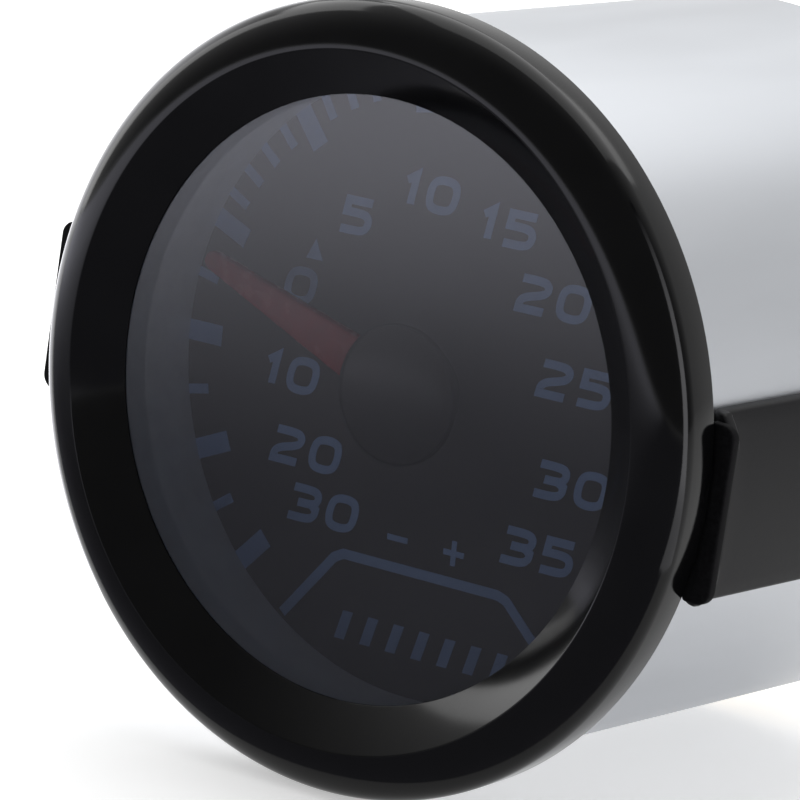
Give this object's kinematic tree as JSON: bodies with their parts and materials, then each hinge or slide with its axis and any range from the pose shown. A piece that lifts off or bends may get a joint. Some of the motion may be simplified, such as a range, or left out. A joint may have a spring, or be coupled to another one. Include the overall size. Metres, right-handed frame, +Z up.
{
  "type": "boost gauge",
  "caption": "Round panel boost gauge: smoked lens over a printed dial, geared pressure movement, rear pressure port and a clamp bracket with knurled nuts.",
  "frame": {"origin": "on the gauge's axis, at the back plane of the bezel, which seats on the panel", "axes": "+Z up on the dial, +Y along the gauge's axis towards the rear fittings, so the dial faces -Y; +X to the right of the dial"},
  "size_m": [0.06, 0.0662, 0.0558],
  "materials": {
    "bezel_black": "gloss black paint",
    "smoked_lens": "polished smoked plastic",
    "black_rubber": "matte",
    "pale_spacer": "satin moulded plastic",
    "dial_face": "printed matte film",
    "clear_guide": "clear moulded plastic",
    "white_plastic": "moulded",
    "board_green": "solder mask",
    "lamp_body": "clear resin",
    "case_silver": "bright drawn steel",
    "pointer_red": "translucent red plastic",
    "cap_black": "satin black plastic",
    "steel": "turned",
    "spring_steel": "tempered",
    "zinc_steel": "zinc plated",
    "brass": "turned brass",
    "bronze": "drawn bronze",
    "strap_black": "satin black paint"
  },
  "bodies": {
    "housing": {"bezel_ring": "bezel_black", "lens": "smoked_lens", "lens_gasket": "black_rubber", "spacer_ring": "pale_spacer", "dial_plate": "dial_face", "light_guide": "clear_guide", "light_housing": "white_plastic", "lamp_board": "board_green", "lamps": "lamp_body", "case_tube": "case_silver", "case_back": "case_silver", "hairspring": "spring_steel", "hairspring_stud": "brass", "front_plate": "brass", "rear_plate": "brass", "pillars": "brass", "plate_screws": "steel", "movement_screws": "steel", "bourdon_tube": "bronze", "tube_tip": "brass", "tip_pin": "steel", "pressure_socket": "brass", "port_washer": "zinc_steel", "port_nut": "brass", "lead_grommet": "black_rubber", "clamp_studs": "zinc_steel", "stud_nuts": "zinc_steel"},
    "pointer_set": {"pointer_blade": "pointer_red", "pointer_hub": "cap_black", "pointer_cap": "cap_black", "pointer_arbor": "steel", "pinion": "brass", "hairspring_collet": "brass"},
    "sector_set": {"sector_gear": "brass", "sector_arbor": "steel", "link_pin": "steel"},
    "link_set": {"link": "steel"},
    "clamp_set": {"clamp_bracket": "strap_black", "foot_pads": "black_rubber", "bracket_washers": "zinc_steel"},
    "left_nut": {"thumb_nut_left": "brass"},
    "right_nut": {"thumb_nut_right": "brass"}
  },
  "joints": [
    {"name": "sector_swing", "type": "hinge", "parent": "housing", "child": "sector_set", "pos_m": [0.00592, 0.0211, -0.01269], "axis": [0, 1, 0], "range_deg": [-34.33, 10.67], "stiffness_Nm_per_rad": 0.01},
    {"name": "pointer_spin", "type": "hinge", "parent": "housing", "child": "pointer_set", "pos_m": [0, 0.003, 0], "axis": [0, 1, 0], "range_deg": [-64, 206]},
    {"name": "link_turn", "type": "hinge", "parent": "sector_set", "child": "link_set", "pos_m": [0.01043, 0.0227, -0.01583], "axis": [0, 1, 0], "range_deg": [-10.67, 34.33]},
    {"name": "bracket_slide", "type": "slide", "parent": "housing", "child": "clamp_set", "axis": [0, 1, 0], "range_m": [0, 0.006]},
    {"name": "left_nut_spin", "type": "hinge", "parent": "clamp_set", "child": "left_nut", "pos_m": [-0.01198, 0.0515, 0.00069], "axis": [0, 1, 0], "continuous": true},
    {"name": "right_nut_spin", "type": "hinge", "parent": "clamp_set", "child": "right_nut", "pos_m": [0.01198, 0.0515, -0.00069], "axis": [0, 1, 0], "continuous": true}
  ],
  "couplings": [
    {"joint": "pointer_spin", "follows": "sector_swing", "ratio": -6},
    {"joint": "link_turn", "follows": "sector_swing", "ratio": -1}
  ]
}
